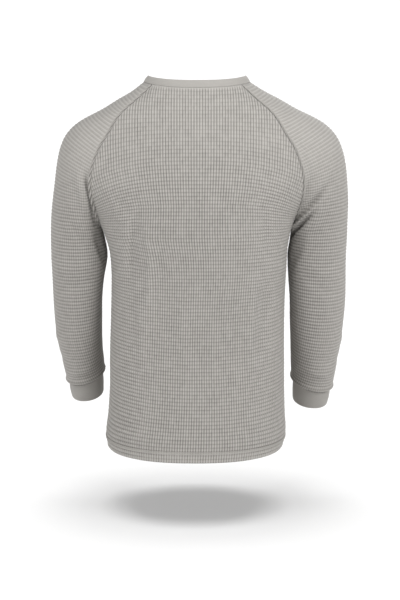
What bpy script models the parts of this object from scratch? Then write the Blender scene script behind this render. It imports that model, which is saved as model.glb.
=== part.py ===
"""Raglan thermal top, filled out as it is worn: back, front, two sleeves, neckband and two cuffs.

Metres, +Z up. The garment's front faces -Y and the wearer's left side is +X. The origin is the
middle of the neck opening, level with the shoulder neck points, where the wearer holds it up.
Every cloth piece is a wall: an outer surface on the garment's form, and an inner one a cloth
thickness below it.
"""

import bpy
import numpy as np

# Driving dimensions
CLOTH = 0.0020              # wall of the body and sleeves
HEM_CLOTH = 0.0032          # the turned hem is two layers
RIB_CLOTH = 0.0024          # wall of the neckband and cuffs
SEAM_GAP = 0.0004           # between two pieces at a seam
HEM_DEPTH = 0.018           # height of the turned hem
BAND_HEIGHT = 0.0135        # neckband, seam to top edge
UNDERARM_Z = -0.282         # where sleeve, back and front meet
HEM_Z = -0.691

# Facets
ARMHOLE_ROWS = 13           # stations from the neck seam down each raglan seam
BODY_ROWS = 13              # stations from the underarm to the hem
PANEL_COLUMNS = 21          # points across a body panel
SLEEVE_ROWS = 14            # rings from the underarm to the cuff
HALF_RING = 9               # points along each half of a sleeve ring, both ends counted
EDGE_CROWDING = 0.86        # under 1, panel columns lie closer together at the sides
HEM_STEP = 0.002            # rows just above and below the hem's upper edge
SHARP_ANGLE = 40            # degrees, for shading

# Colours as linear red, green and blue, and roughness
WAFFLE_BODY = ((0.39, 0.37, 0.35), 0.92)
WAFFLE_SLEEVE = ((0.36, 0.34, 0.32), 0.92)
RIB_CUFF = ((0.30, 0.28, 0.26), 0.88)
RIB_BAND = ((0.47, 0.45, 0.43), 0.88)

# Raglan seams of the wearer's left side, from the neck seam to the underarm.
ARMHOLE_COLUMNS = ("back_x", "back_y", "back_z", "front_x", "front_y", "front_z")
ARMHOLE = (
    (0.0800, 0.0365, -0.0137, 0.0760, -0.0740, -0.0602),
    (0.1056, 0.0500, -0.0359, 0.0950, -0.0790, -0.0720),
    (0.1277, 0.0595, -0.0537, 0.1140, -0.0830, -0.0860),
    (0.1436, 0.0660, -0.0717, 0.1300, -0.0860, -0.1010),
    (0.1577, 0.0720, -0.0959, 0.1440, -0.0870, -0.1160),
    (0.1719, 0.0770, -0.1175, 0.1540, -0.0880, -0.1370),
    (0.1819, 0.0790, -0.1404, 0.1620, -0.0870, -0.1590),
    (0.1884, 0.0785, -0.1637, 0.1680, -0.0830, -0.1810),
    (0.1914, 0.0740, -0.1860, 0.1715, -0.0760, -0.2030),
    (0.1895, 0.0630, -0.2110, 0.1735, -0.0640, -0.2260),
    (0.1830, 0.0440, -0.2400, 0.1745, -0.0450, -0.2500),
    (0.1765, 0.0200, -0.2670, 0.1740, -0.0220, -0.2710),
    (0.1722, 0.0000, -0.2820, 0.1722, 0.0000, -0.2820),
)

# Body: half width at the side seam below the underarm, depth of the centre back and centre
# front, and how far the whole section sits to the wearer's left.
BODY_COLUMNS = ("z", "half_width", "back", "front", "sideways")
BODY = (
    (-0.0150, 0.0800, 0.0660, -0.0760, 0.0000),
    (-0.0450, 0.1150, 0.0790, -0.0860, 0.0000),
    (-0.0800, 0.1480, 0.0910, -0.0980, 0.0000),
    (-0.1300, 0.1760, 0.1040, -0.1140, 0.0000),
    (-0.1800, 0.1910, 0.1110, -0.1260, 0.0000),
    (-0.2300, 0.1860, 0.1130, -0.1310, 0.0000),
    (-0.2820, 0.1722, 0.1100, -0.1300, 0.0000),
    (-0.3150, 0.1645, 0.1065, -0.1265, -0.0024),
    (-0.3500, 0.1620, 0.1025, -0.1215, -0.0034),
    (-0.4000, 0.1610, 0.0985, -0.1155, -0.0022),
    (-0.4600, 0.1616, 0.0980, -0.1120, -0.0008),
    (-0.5200, 0.1630, 0.1020, -0.1130, 0.0000),
    (-0.5800, 0.1638, 0.1100, -0.1170, 0.0000),
    (-0.6300, 0.1665, 0.1185, -0.1220, 0.0010),
    (-0.6650, 0.1693, 0.1250, -0.1255, 0.0022),
    (-0.6910, 0.1655, 0.1285, -0.1280, 0.0036),
)

# Fullness of a section: x across it and how squarely it turns at its end.
SECTION_COLUMNS = ("z", "power", "turn")
SECTION = (
    (-0.0150, 2.2, 1.00),
    (-0.1700, 2.2, 1.00),
    (-0.2100, 2.3, 0.86),
    (-0.2500, 2.4, 0.62),
    (-0.2820, 2.5, 0.40),
    (-0.6500, 2.5, 0.40),
    (-0.6910, 2.3, 0.42),
)

# Left sleeve, one row a ring: the outer line, the fore-and-aft place of the ring, its back and
# front depth, how far it tips forward (degrees), the lead of the cloth where it leaves the seam
# (degrees, positive heads to the arm's front or back face's outside), and what the wearer's
# right sleeve adds outside, inside and downwards.
SLEEVE_COLUMNS = ("station", "out_x", "out_z", "in_x", "in_z", "y", "back", "front", "tip",
                  "lead", "add_out", "add_in", "add_drop")
SLEEVE = (
    (0.0, 0.0960, -0.0114, 0.0, 0.0, -0.004, 0.022, 0.030, 0, 48, 0.000, 0.000, 0.000),
    (1.0, 0.1184, -0.0285, 0.0, 0.0, -0.003, 0.030, 0.036, 0, 34, 0.005, 0.000, 0.000),
    (2.0, 0.1447, -0.0438, 0.0, 0.0, -0.002, 0.037, 0.041, 0, 26, 0.008, 0.000, 0.000),
    (3.0, 0.1703, -0.0601, 0.0, 0.0, -0.001, 0.043, 0.046, 0, 21, 0.010, 0.000, 0.000),
    (4.0, 0.1940, -0.0719, 0.0, 0.0, 0.000, 0.048, 0.050, 0, 18, 0.012, 0.000, 0.000),
    (5.0, 0.2178, -0.0855, 0.0, 0.0, 0.000, 0.052, 0.054, 0, 15, 0.013, 0.000, 0.000),
    (6.0, 0.2382, -0.1055, 0.0, 0.0, 0.000, 0.055, 0.056, 0, 11, 0.014, 0.000, 0.000),
    (7.0, 0.2495, -0.1311, 0.0, 0.0, 0.000, 0.057, 0.057, 0, 4, 0.015, 0.000, 0.000),
    (8.0, 0.2555, -0.1600, 0.0, 0.0, 0.000, 0.058, 0.057, 0, -6, 0.016, 0.000, 0.000),
    (9.0, 0.2603, -0.1960, 0.0, 0.0, 0.000, 0.059, 0.057, 0, -22, 0.015, 0.000, 0.000),
    (10.0, 0.2655, -0.2330, 0.0, 0.0, -0.001, 0.061, 0.059, 1, -48, 0.012, 0.000, 0.000),
    (11.0, 0.2680, -0.2600, 0.0, 0.0, -0.002, 0.064, 0.063, 2, -72, 0.009, 0.000, 0.000),
    (12.0, 0.2690, -0.2790, 0.1745, -0.2825, -0.003, 0.067, 0.067, 3, -90, 0.008, 0.000, 0.000),
    (13.0, 0.2697, -0.3050, 0.1692, -0.3050, -0.007, 0.067, 0.067, 4, -90, 0.007, 0.002, 0.000),
    (14.0, 0.2700, -0.3366, 0.1662, -0.3340, -0.012, 0.066, 0.066, 5, -90, 0.006, 0.002, 0.000),
    (15.0, 0.2690, -0.3790, 0.1735, -0.3760, -0.017, 0.064, 0.064, 7, -90, 0.008, -0.003, 0.000),
    (16.0, 0.2683, -0.4184, 0.1776, -0.4140, -0.022, 0.062, 0.063, 9, -90, 0.009, -0.004, 0.001),
    (17.0, 0.2670, -0.4589, 0.1788, -0.4530, -0.030, 0.060, 0.061, 12, -90, 0.008, -0.004, 0.002),
    (18.0, 0.2632, -0.5007, 0.1798, -0.4910, -0.039, 0.057, 0.058, 15, -90, 0.008, -0.003, 0.005),
    (19.0, 0.2571, -0.5348, 0.1793, -0.5230, -0.048, 0.053, 0.054, 18, -90, 0.009, -0.001, 0.009),
    (20.0, 0.2520, -0.5640, 0.1778, -0.5480, -0.057, 0.050, 0.050, 20, -90, 0.010, 0.002, 0.012),
    (21.0, 0.2478, -0.5800, 0.1788, -0.5625, -0.061, 0.046, 0.046, 21, -90, 0.010, 0.003, 0.014),
    (21.4, 0.2450, -0.5835, 0.1806, -0.5660, -0.062, 0.043, 0.043, 21, -90, 0.010, 0.004, 0.014),
)
CUFF = (
    (22.0, 0.2452, -0.5845, 0.1806, -0.5670, -0.0623, 0.043, 0.043, 21, -90, 0.010, 0.004, 0.014),
    (23.0, 0.2440, -0.6005, 0.1804, -0.5880, -0.0700, 0.043, 0.043, 21, -90, 0.010, 0.004, 0.014),
    (24.0, 0.2420, -0.6165, 0.1805, -0.6095, -0.0780, 0.042, 0.042, 21, -90, 0.010, 0.004, 0.014),
)
UNDERARM_STATION = 12.0
SEAM_HANDLE = 0.42          # the handle at the seam, as a share of the ring's reach
CLOSING_FROM = 8.0          # from this station to the underarm the ring turns into a closed one

# Neck seam: a rounded ring that falls from the shoulders to the front.
NECK_HALF_WIDTH = 0.0970
NECK_MIDDLE_Y = -0.0160
NECK_BACK = 0.0820          # from the ring's middle to the centre back
NECK_FRONT = 0.0840         # and to the centre front
NECK_POWER = 2.3            # how squarely the ring turns
NECK_SIDE_Z = -0.0114
NECK_BACK_DROP = 0.0040
NECK_FRONT_DROP = 0.0766
NECK_BLEND = 0.060          # the cloth below settles into the body's form over this length
NECK_ROW_DROP = {"back": -0.0018, "front": -0.0290}  # how far a row's middle hangs at the neck
BAND_LEAN = 0.0075          # how far the band's top edge lies inside the seam at the sides
BAND_TIP = 0.0050           # and at the centre back and front
BAND_MIDDLE_Y = -0.010      # the point the band leans towards

# Largest soft folds of the body: panel, place across, upper and lower end, half width, depth
# (a trough is negative) and how far its lower end wanders sideways.
FOLD_COLUMNS = ("panel", "x", "top", "bottom", "half_width", "depth", "drift")
FOLDS = (
    ("back", 0.100, -0.230, -0.400, 0.022, -0.0050, 0.022),
    ("back", 0.068, -0.260, -0.500, 0.020, 0.0030, 0.010),
    ("back", -0.128, -0.390, -0.520, 0.018, -0.0040, 0.000),
    ("back", 0.010, -0.400, -0.600, 0.018, 0.0022, -0.010),
    ("front", 0.110, -0.250, -0.420, 0.022, -0.0045, -0.018),
    ("front", -0.104, -0.240, -0.400, 0.022, -0.0050, 0.024),
    ("front", -0.040, -0.400, -0.610, 0.022, 0.0026, 0.014),
    ("front", 0.062, -0.430, -0.620, 0.020, -0.0024, -0.010),
)


def column(table, names, name):
    """One named column of a table, as an array."""
    return np.array([row[names.index(name)] for row in table], dtype=float)


def smooth(knots, values, at):
    """A smooth curve through values at knots, read at the given places."""
    order = np.argsort(knots)
    knots, values = knots[order], values[order]
    slope = np.gradient(values, knots)
    at = np.clip(at, knots[0], knots[-1])
    left = np.clip(np.searchsorted(knots, at, side="right") - 1, 0, len(knots) - 2)
    step = knots[left + 1] - knots[left]
    t = (at - knots[left]) / step
    return (values[left] * (1 + 2 * t) * (1 - t) ** 2 + values[left + 1] * t * t * (3 - 2 * t)
            + step * slope[left] * t * (1 - t) ** 2 - step * slope[left + 1] * t * t * (1 - t))


def body_value(name, z):
    return smooth(column(BODY, BODY_COLUMNS, "z"), column(BODY, BODY_COLUMNS, name), z)


def section_value(name, z):
    return np.interp(z, column(SECTION, SECTION_COLUMNS, "z")[::-1],
                     column(SECTION, SECTION_COLUMNS, name)[::-1])


def seam_at(panel, station):
    """Points of the left raglan seam of a panel at stations from 0, neck, to 12, underarm."""
    knots = np.arange(len(ARMHOLE), dtype=float)
    axes = [smooth(knots, column(ARMHOLE, ARMHOLE_COLUMNS, f"{panel}_{axis}"), station)
            for axis in "xyz"]
    return np.stack(axes, axis=-1)


def side_of(panel, z):
    """Half width and depth of a panel's side edge at height z."""
    fine = seam_at(panel, np.linspace(0.0, UNDERARM_STATION, 200))[::-1]
    seam_x = np.interp(z, fine[:, 2], fine[:, 0])
    seam_y = np.interp(z, fine[:, 2], fine[:, 1])
    below = z < UNDERARM_Z
    return np.where(below, body_value("half_width", z), seam_x), np.where(below, 0.0, seam_y)


def fold_relief(panel, x, z):
    """How far the folds lift the cloth: soft ridges and troughs that fade at both ends."""
    relief = np.zeros_like(x)
    for kind, place, top, bottom, half_width, depth, drift in FOLDS:
        if kind != panel:
            continue
        along = np.clip((top - z) / (top - bottom), 0.0, 1.0)
        fade = np.sin(np.pi * along) ** 2
        relief += depth * fade * np.exp(-((x - place - drift * along) / half_width) ** 2)
    return relief


def panel_point(panel, across, z):
    """The body's surface: across runs from -1, right edge, to 1, left edge, at height z."""
    half_width, side_y = side_of(panel, z)
    centre_y = body_value(panel, z)
    share = np.clip(1.0 - np.abs(across) ** section_value("power", z), 0.0, 1.0)
    x = body_value("sideways", z) + half_width * across
    y = side_y + (centre_y - side_y) * share ** section_value("turn", z)
    facing = 1.0 if panel == "back" else -1.0
    return np.stack([x, y + facing * fold_relief(panel, x, z) * share ** 0.5, z], axis=-1)


def neck_height(y):
    """Height of the neck seam where it crosses y."""
    back = np.clip(y / (NECK_MIDDLE_Y + NECK_BACK), 0.0, 1.0)
    front = np.clip(y / (NECK_MIDDLE_Y - NECK_FRONT), 0.0, 1.0)
    return NECK_SIDE_Z - NECK_BACK_DROP * back ** 2 - NECK_FRONT_DROP * front ** 1.5


def neck_point(x, facing):
    """The neck seam at x, on the back half (facing 1) or the front half (facing -1)."""
    share = np.clip(1.0 - np.abs(x / NECK_HALF_WIDTH) ** NECK_POWER, 0.0, 1.0)
    y = NECK_MIDDLE_Y + facing * (NECK_BACK if facing > 0 else NECK_FRONT) * share ** (
        1 / NECK_POWER)
    return np.stack([x, y, neck_height(y)], axis=-1)


def neck_point_at_depth(y, side):
    """The neck seam at depth y, on the wearer's left (side 1) or right (side -1)."""
    depth = np.where(y > NECK_MIDDLE_Y, NECK_BACK, NECK_FRONT)
    share = np.clip(1.0 - np.abs((y - NECK_MIDDLE_Y) / depth) ** NECK_POWER, 0.0, 1.0)
    return np.stack([side * NECK_HALF_WIDTH * share ** (1 / NECK_POWER), y, neck_height(y)], -1)


def settle(grid, top_row):
    """Moves a grid's first row onto the neck seam, and the rows below it less and less."""
    away = np.linalg.norm(grid - grid[:1], axis=-1, keepdims=True)
    fade = np.clip(1.0 - away / NECK_BLEND, 0.0, 1.0)
    return grid + (top_row - grid[0])[None] * fade * fade * (3.0 - 2.0 * fade)


def panel_grid(panel):
    """Rows from the neck seam to the hem, columns from the right edge to the left."""
    seam_z = seam_at(panel, np.linspace(0.0, UNDERARM_STATION, ARMHOLE_ROWS))[:, 2]
    low_z = np.linspace(UNDERARM_Z, HEM_Z, BODY_ROWS + 1)[1:]
    hem_z = HEM_Z + HEM_DEPTH + np.array([HEM_STEP, -HEM_STEP])
    low_z = np.sort(np.concatenate([low_z[:-2], hem_z, low_z[-1:]]))[::-1]
    side_z = np.concatenate([seam_z, low_z])
    fading = np.clip((side_z - UNDERARM_Z) / (side_z[0] - UNDERARM_Z), 0.0, 1.0)
    turn = np.linspace(-1.0, 1.0, PANEL_COLUMNS)
    across = np.sign(turn) * np.abs(np.sin(turn * np.pi / 2)) ** EDGE_CROWDING
    across, z = np.broadcast_arrays(across[None, :], side_z[:, None])
    z = z + (NECK_ROW_DROP[panel] * fading)[:, None] * (1.0 - across ** 2)
    grid = panel_point(panel, across, z)
    neck_x = across[0] * seam_at(panel, 0.0)[0]
    return settle(grid, neck_point(neck_x, 1.0 if panel == "back" else -1.0))


def ring_value(table, name, station):
    """A sleeve column at the given stations; the inner line starts at the underarm."""
    first = UNDERARM_STATION if name in ("in_x", "in_z") else 0.0
    rows = [row for row in table if row[0] >= first]
    return smooth(column(rows, SLEEVE_COLUMNS, "station"), column(rows, SLEEVE_COLUMNS, name),
                  station)


def half_ring(outer, inner, outer_handle, inner_handle):
    """A cubic arc from the outer line to the seam, on two handles."""
    t = np.linspace(0.0, 1.0, HALF_RING)[None, :, None]
    points = [outer, outer + outer_handle, inner + inner_handle, inner]
    weights = [(1 - t) ** 3, 3 * t * (1 - t) ** 2, 3 * t * t * (1 - t), t ** 3]
    return sum(w * p[:, None, :] for w, p in zip(weights, points))


def tube_grid(table, side, stations):
    """Rings of a sleeve or cuff: columns from the back edge over the outer line to the front."""
    value = {name: ring_value(table, name, stations) for name in SLEEVE_COLUMNS[1:]}
    right = 0.0 if side > 0 else 1.0
    drop = right * value["add_drop"]
    outer = np.stack([value["out_x"] + right * value["add_out"], value["y"],
                      value["out_z"] - drop], axis=-1)
    inside = np.stack([value["in_x"] + right * value["add_in"], value["y"],
                       value["in_z"] - drop], axis=-1)
    tip, lead = np.radians(value["tip"]), np.radians(value["lead"])
    halves = []
    for panel, facing in (("back", 1.0), ("front", -1.0)):
        seam = seam_at(panel, np.minimum(stations, UNDERARM_STATION))
        open_ring = (stations < UNDERARM_STATION)[:, None]
        inner = np.where(open_ring, seam, inside)
        backwards = np.stack([0 * tip, np.cos(tip), -np.sin(tip)], axis=-1) * facing
        reach = outer - inner
        reach[:, 1] = 0.0
        length = np.linalg.norm(reach, axis=1, keepdims=True)
        outwards = reach / length
        heading = (np.cos(lead)[:, None] * outwards - np.sin(lead)[:, None] * backwards)
        closed = (stations - CLOSING_FROM) / (UNDERARM_STATION - CLOSING_FROM)
        closed = np.clip(closed, 0.0, 1.0)[:, None]
        seam_handle = (1 - closed) * SEAM_HANDLE * length + closed * value[panel][:, None]
        halves.append(half_ring(outer, inner, backwards * value[panel][:, None],
                                heading * seam_handle))
    grid = np.concatenate([halves[0][:, ::-1], halves[1][:, 1:]], axis=1)
    if stations[0] == 0.0:
        depth = grid[0, :, 1]
        grid = settle(grid, neck_point_at_depth(depth, 1.0))
    grid[..., 0] *= side
    return grid


def grid_normals(grid, outward):
    """Unit normals of a grid of points, turned to the side that outward says."""
    along = np.gradient(grid, axis=0)
    across = np.gradient(grid, axis=1)
    normal = np.cross(along, across)
    normal /= np.maximum(np.linalg.norm(normal, axis=-1, keepdims=True), 1e-12)
    return normal * outward


def unit(vectors):
    return vectors / np.linalg.norm(vectors, axis=-1, keepdims=True)


def pull_in(grid, edge, distance):
    """Moves one edge of a grid back along the cloth, which opens the gap at a seam."""
    moved = grid.copy()
    rows = {"top": (np.s_[0], np.s_[1]), "bottom": (np.s_[-1], np.s_[-2])}
    columns = {"first": (np.s_[:, 0], np.s_[:, 1]), "last": (np.s_[:, -1], np.s_[:, -2])}
    border, inside = {**rows, **columns}[edge]
    moved[border] += distance * unit(grid[inside] - grid[border])
    return moved


class Wall:
    """Points and faces of one closed cloth wall."""

    def __init__(self, outer, inner, joined_from=None, ring=False):
        rows, columns = outer.shape[:2]
        self.index = np.arange(rows * columns).reshape(rows, columns)
        start = rows if joined_from is None else joined_from
        if ring:
            start = 0
        self.index[start:, -1] = self.index[start:, 0]
        self.inner_index = self.index + rows * columns
        self.points = np.concatenate([outer.reshape(-1, 3), inner.reshape(-1, 3)])
        self.faces = []
        self.skin(self.index, False)
        self.skin(self.inner_index, True)
        self.strip(self.index[0], self.inner_index[0], True)
        self.strip(self.index[-1], self.inner_index[-1], False)
        if start > 0:
            upper = slice(0, start + 1)
            self.strip(self.index[upper, 0], self.inner_index[upper, 0], False)
            self.strip(self.index[upper, -1], self.inner_index[upper, -1], True)

    def skin(self, index, flipped):
        corners = np.stack([index[:-1, :-1], index[1:, :-1], index[1:, 1:], index[:-1, 1:]], -1)
        corners = corners.reshape(-1, 4)
        self.faces += [tuple(c) for c in (corners[:, ::-1] if flipped else corners).tolist()]

    def strip(self, outer, inner, flipped):
        corners = np.stack([outer[:-1], inner[:-1], inner[1:], outer[1:]], axis=-1)
        self.faces += [tuple(c) for c in (corners[:, ::-1] if flipped else corners).tolist()]


def cloth_material(name, colour, roughness):
    material = bpy.data.materials.new(name)
    material.use_nodes = True
    shader = material.node_tree.nodes["Principled BSDF"]
    shader.inputs["Base Color"].default_value = (*colour, 1.0)
    shader.inputs["Roughness"].default_value = roughness
    shader.inputs["Metallic"].default_value = 0.0
    return material


def add_piece(name, wall, colour, roughness):
    """Makes the named object, with its faces pointing out."""
    used = np.unique(np.concatenate([np.array(face) for face in wall.faces]))
    renumber = np.full(len(wall.points), -1)
    renumber[used] = np.arange(len(used))
    faces = [tuple(renumber[list(face)].tolist()) for face in wall.faces]
    mesh = bpy.data.meshes.new(name)
    mesh.from_pydata(wall.points[used].tolist(), [], faces)
    mesh.update()
    if signed_volume(wall.points[used], faces) < 0:
        mesh.flip_normals()
    mesh.shade_smooth()
    mesh.set_sharp_from_angle(angle=np.radians(SHARP_ANGLE))
    piece = bpy.data.objects.new(name, mesh)
    piece.data.materials.append(cloth_material(name, colour, roughness))
    bpy.context.collection.objects.link(piece)
    return piece


def signed_volume(points, faces):
    total = 0.0
    for face in faces:
        origin = points[face[0]]
        for second, third in zip(face[1:-1], face[2:]):
            total += np.dot(origin, np.cross(points[second], points[third]))
    return total / 6.0


def outward_sign(grid):
    """Whether a grid's own normals point out of the garment (1) or into it (-1)."""
    normal = grid_normals(grid, 1.0)
    away = grid - grid.reshape(-1, 3).mean(axis=0)
    return 1.0 if (normal * away).sum() > 0 else -1.0


def panel_thickness(grid):
    """Single cloth, and two layers in the turned hem."""
    height = grid[..., 2] - HEM_Z
    hem = np.clip((HEM_DEPTH + HEM_STEP - height) / (2 * HEM_STEP), 0.0, 1.0)
    return (CLOTH + (HEM_CLOTH - CLOTH) * hem)[..., None]


def band_ring(panels, sleeves):
    """The neck seam as one loop: back from right to left, left sleeve, front, right sleeve."""
    back, front = panels["back"][0], panels["front"][0]
    left, right = sleeves["left"][0], sleeves["right"][0]
    return np.concatenate([back[:-1], left[:-1], front[::-1][:-1], right[::-1]])


def band_grid(seam):
    """The band stands up from the neck seam and leans in a little towards the neck."""
    middle = np.array([0.0, BAND_MIDDLE_Y, 0.0])
    level = unit((seam - middle) * np.array([1.0, 1.0, 0.0]))
    lean = BAND_TIP + (BAND_LEAN - BAND_TIP) * level[:, :1] ** 2
    rise = np.sqrt(BAND_HEIGHT ** 2 - lean ** 2)
    share = np.array([0.0, 0.5, 1.0])[:, None, None]
    up = np.array([0.0, 0.0, 1.0])
    return seam[None] + share * (rise * up - level * lean)[None]


def build():
    for old in list(bpy.data.objects):
        bpy.data.objects.remove(old, do_unlink=True)

    panels = {panel: panel_grid(panel) for panel in ("back", "front")}
    above = np.linspace(0.0, UNDERARM_STATION, ARMHOLE_ROWS)
    below = np.linspace(UNDERARM_STATION, SLEEVE[-1][0], SLEEVE_ROWS + 1)[1:]
    sleeve_stations = np.concatenate([above, below])
    cuff_stations = np.linspace(CUFF[0][0], CUFF[-1][0], 3)
    sleeves, cuffs = {}, {}
    for name, side in (("left", 1.0), ("right", -1.0)):
        sleeves[name] = tube_grid(SLEEVE, side, sleeve_stations)
        cuffs[name] = tube_grid(CUFF, side, cuff_stations)
        for row, panel in ((0, "back"), (-1, "front")):
            edge = panels[panel][:ARMHOLE_ROWS, -1 if side > 0 else 0]
            sleeves[name][:ARMHOLE_ROWS - 1, row] = edge[:-1]
    band = band_grid(band_ring(panels, sleeves))

    normals = {name: grid_normals(grid, outward_sign(grid)) for name, grid in panels.items()}
    for name in sleeves:
        normals[name] = grid_normals(sleeves[name], outward_sign(sleeves[name]))
        share_ring_normals(normals[name], ARMHOLE_ROWS - 1)
    share_seam_normals(normals)

    for name, grid in panels.items():
        outer, inner = grid, grid - panel_thickness(grid) * normals[name]
        for edge in ("top", "first", "last"):
            outer = pull_in(outer, edge, SEAM_GAP / 2)
            inner = pull_in(inner, edge, SEAM_GAP / 2)
        add_piece(f"{name}_panel", Wall(outer, inner), *WAFFLE_BODY)

    for name, grid in sleeves.items():
        outer, inner = grid, grid - CLOTH * normals[name]
        for edge in ("top", "first", "last"):
            rows = slice(None) if edge == "top" else slice(0, ARMHOLE_ROWS - 1)
            outer[rows] = pull_in(outer, edge, SEAM_GAP / 2)[rows]
            inner[rows] = pull_in(inner, edge, SEAM_GAP / 2)[rows]
        wall = Wall(outer, inner, joined_from=ARMHOLE_ROWS - 1)
        add_piece(f"sleeve_{name}", wall, *WAFFLE_SLEEVE)

    for name, grid in cuffs.items():
        normal = grid_normals(grid, outward_sign(grid))
        share_ring_normals(normal, 0)
        wall = Wall(grid, grid - RIB_CLOTH * normal, ring=True)
        add_piece(f"cuff_{name}", wall, *RIB_CUFF)

    normal = grid_normals(band, outward_sign(band))
    share_ring_normals(normal, 0)
    outer, inner = band, band - RIB_CLOTH * normal
    lift = SEAM_GAP * np.array([0.0, 0.0, 1.0])
    add_piece("neckband", Wall(outer + lift, inner + lift, ring=True), *RIB_BAND)


def share_ring_normals(normal, first_closed_row):
    """Where a ring closes on itself, its two ends take one normal."""
    rows = slice(first_closed_row, None)
    shared = unit(normal[rows, 0] + normal[rows, -1])
    normal[rows, 0] = shared
    normal[rows, -1] = shared


def share_seam_normals(normals):
    """Pieces that meet at a seam take one normal there, so their edges stay parallel."""
    seam = slice(0, ARMHOLE_ROWS)
    side = slice(ARMHOLE_ROWS - 1, None)
    for name, edge in (("left", -1), ("right", 0)):
        for panel, column_of_sleeve in (("back", 0), ("front", -1)):
            shared = unit(normals[panel][seam, edge] + normals[name][seam, column_of_sleeve])
            normals[panel][seam, edge] = shared
            normals[name][seam, column_of_sleeve] = shared
        shared = unit(normals["back"][side, edge] + normals["front"][side, edge])
        normals["back"][side, edge] = shared
        normals["front"][side, edge] = shared


build()
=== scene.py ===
import math
import bpy
import numpy as np
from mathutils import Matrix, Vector


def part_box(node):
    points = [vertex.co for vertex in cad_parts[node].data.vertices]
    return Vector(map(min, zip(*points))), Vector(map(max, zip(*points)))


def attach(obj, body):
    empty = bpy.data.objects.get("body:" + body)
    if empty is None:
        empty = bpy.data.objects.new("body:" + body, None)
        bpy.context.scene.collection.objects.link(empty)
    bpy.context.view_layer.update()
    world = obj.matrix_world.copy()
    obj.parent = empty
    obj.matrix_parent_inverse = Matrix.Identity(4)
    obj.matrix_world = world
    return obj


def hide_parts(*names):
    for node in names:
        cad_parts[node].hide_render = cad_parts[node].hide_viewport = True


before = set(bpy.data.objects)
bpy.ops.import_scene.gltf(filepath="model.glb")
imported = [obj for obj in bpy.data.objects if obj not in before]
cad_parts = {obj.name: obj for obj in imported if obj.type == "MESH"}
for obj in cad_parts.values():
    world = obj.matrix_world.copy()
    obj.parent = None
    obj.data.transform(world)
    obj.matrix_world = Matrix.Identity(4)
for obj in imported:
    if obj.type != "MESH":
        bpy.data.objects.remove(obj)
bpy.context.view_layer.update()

# Raglan thermal top in waffle knit, filled out as it is worn.
# Front faces -Y, the wearer's left side is +X, metres throughout.
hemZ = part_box("back_panel")[0].z
underarmZ = -0.282
underarmStation = 12.0
closesFrom = 8.0  # the station where the sleeve's rings start to bend round to a full tube
openHandle = 0.42  # length of the inner handle on an open ring, as a share of the ring's reach
bodyMiddle = np.array([0.0, 0.0, -0.35])
seamSteps, fineSteps = 400, 1200  # samples along a seam, and along a line that is measured
pi = math.pi

# Raglan seams of the left side, a row for each station from the neck to the underarm.
armholeColumns = ("backX", "backY", "backZ", "frontX", "frontY", "frontZ")
armhole = (
    (0.0800, 0.0365, -0.0137, 0.0760, -0.0740, -0.0602),
    (0.1056, 0.0500, -0.0359, 0.0950, -0.0790, -0.0720),
    (0.1277, 0.0595, -0.0537, 0.1140, -0.0830, -0.0860),
    (0.1436, 0.0660, -0.0717, 0.1300, -0.0860, -0.1010),
    (0.1577, 0.0720, -0.0959, 0.1440, -0.0870, -0.1160),
    (0.1719, 0.0770, -0.1175, 0.1540, -0.0880, -0.1370),
    (0.1819, 0.0790, -0.1404, 0.1620, -0.0870, -0.1590),
    (0.1884, 0.0785, -0.1637, 0.1680, -0.0830, -0.1810),
    (0.1914, 0.0740, -0.1860, 0.1715, -0.0760, -0.2030),
    (0.1895, 0.0630, -0.2110, 0.1735, -0.0640, -0.2260),
    (0.1830, 0.0440, -0.2400, 0.1745, -0.0450, -0.2500),
    (0.1765, 0.0200, -0.2670, 0.1740, -0.0220, -0.2710),
    (0.1722, 0.0000, -0.2820, 0.1722, 0.0000, -0.2820),
)
# The body by height: depths are at its centre, sideways is how far its middle shifts to the left.
bodyColumns = ("z", "halfWidth", "back", "front", "sideways")
body = (
    (-0.0150, 0.0800, 0.0660, -0.0760, 0.0000),
    (-0.0450, 0.1150, 0.0790, -0.0860, 0.0000),
    (-0.0800, 0.1480, 0.0910, -0.0980, 0.0000),
    (-0.1300, 0.1760, 0.1040, -0.1140, 0.0000),
    (-0.1800, 0.1910, 0.1110, -0.1260, 0.0000),
    (-0.2300, 0.1860, 0.1130, -0.1310, 0.0000),
    (-0.2820, 0.1722, 0.1100, -0.1300, 0.0000),
    (-0.3150, 0.1645, 0.1065, -0.1265, -0.0024),
    (-0.3500, 0.1620, 0.1025, -0.1215, -0.0034),
    (-0.4000, 0.1610, 0.0985, -0.1155, -0.0022),
    (-0.4600, 0.1616, 0.0980, -0.1120, -0.0008),
    (-0.5200, 0.1630, 0.1020, -0.1130, 0.0000),
    (-0.5800, 0.1638, 0.1100, -0.1170, 0.0000),
    (-0.6300, 0.1665, 0.1185, -0.1220, 0.0010),
    (-0.6650, 0.1693, 0.1250, -0.1255, 0.0022),
    (-0.6910, 0.1655, 0.1285, -0.1280, 0.0036),
)
# Exponents of the body's cross section by height.
sectionColumns = ("z", "power", "turn")
section = (
    (-0.0150, 2.2, 1.00),
    (-0.1700, 2.2, 1.00),
    (-0.2100, 2.3, 0.86),
    (-0.2500, 2.4, 0.62),
    (-0.2820, 2.5, 0.40),
    (-0.6500, 2.5, 0.40),
    (-0.6910, 2.3, 0.42),
)
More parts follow.
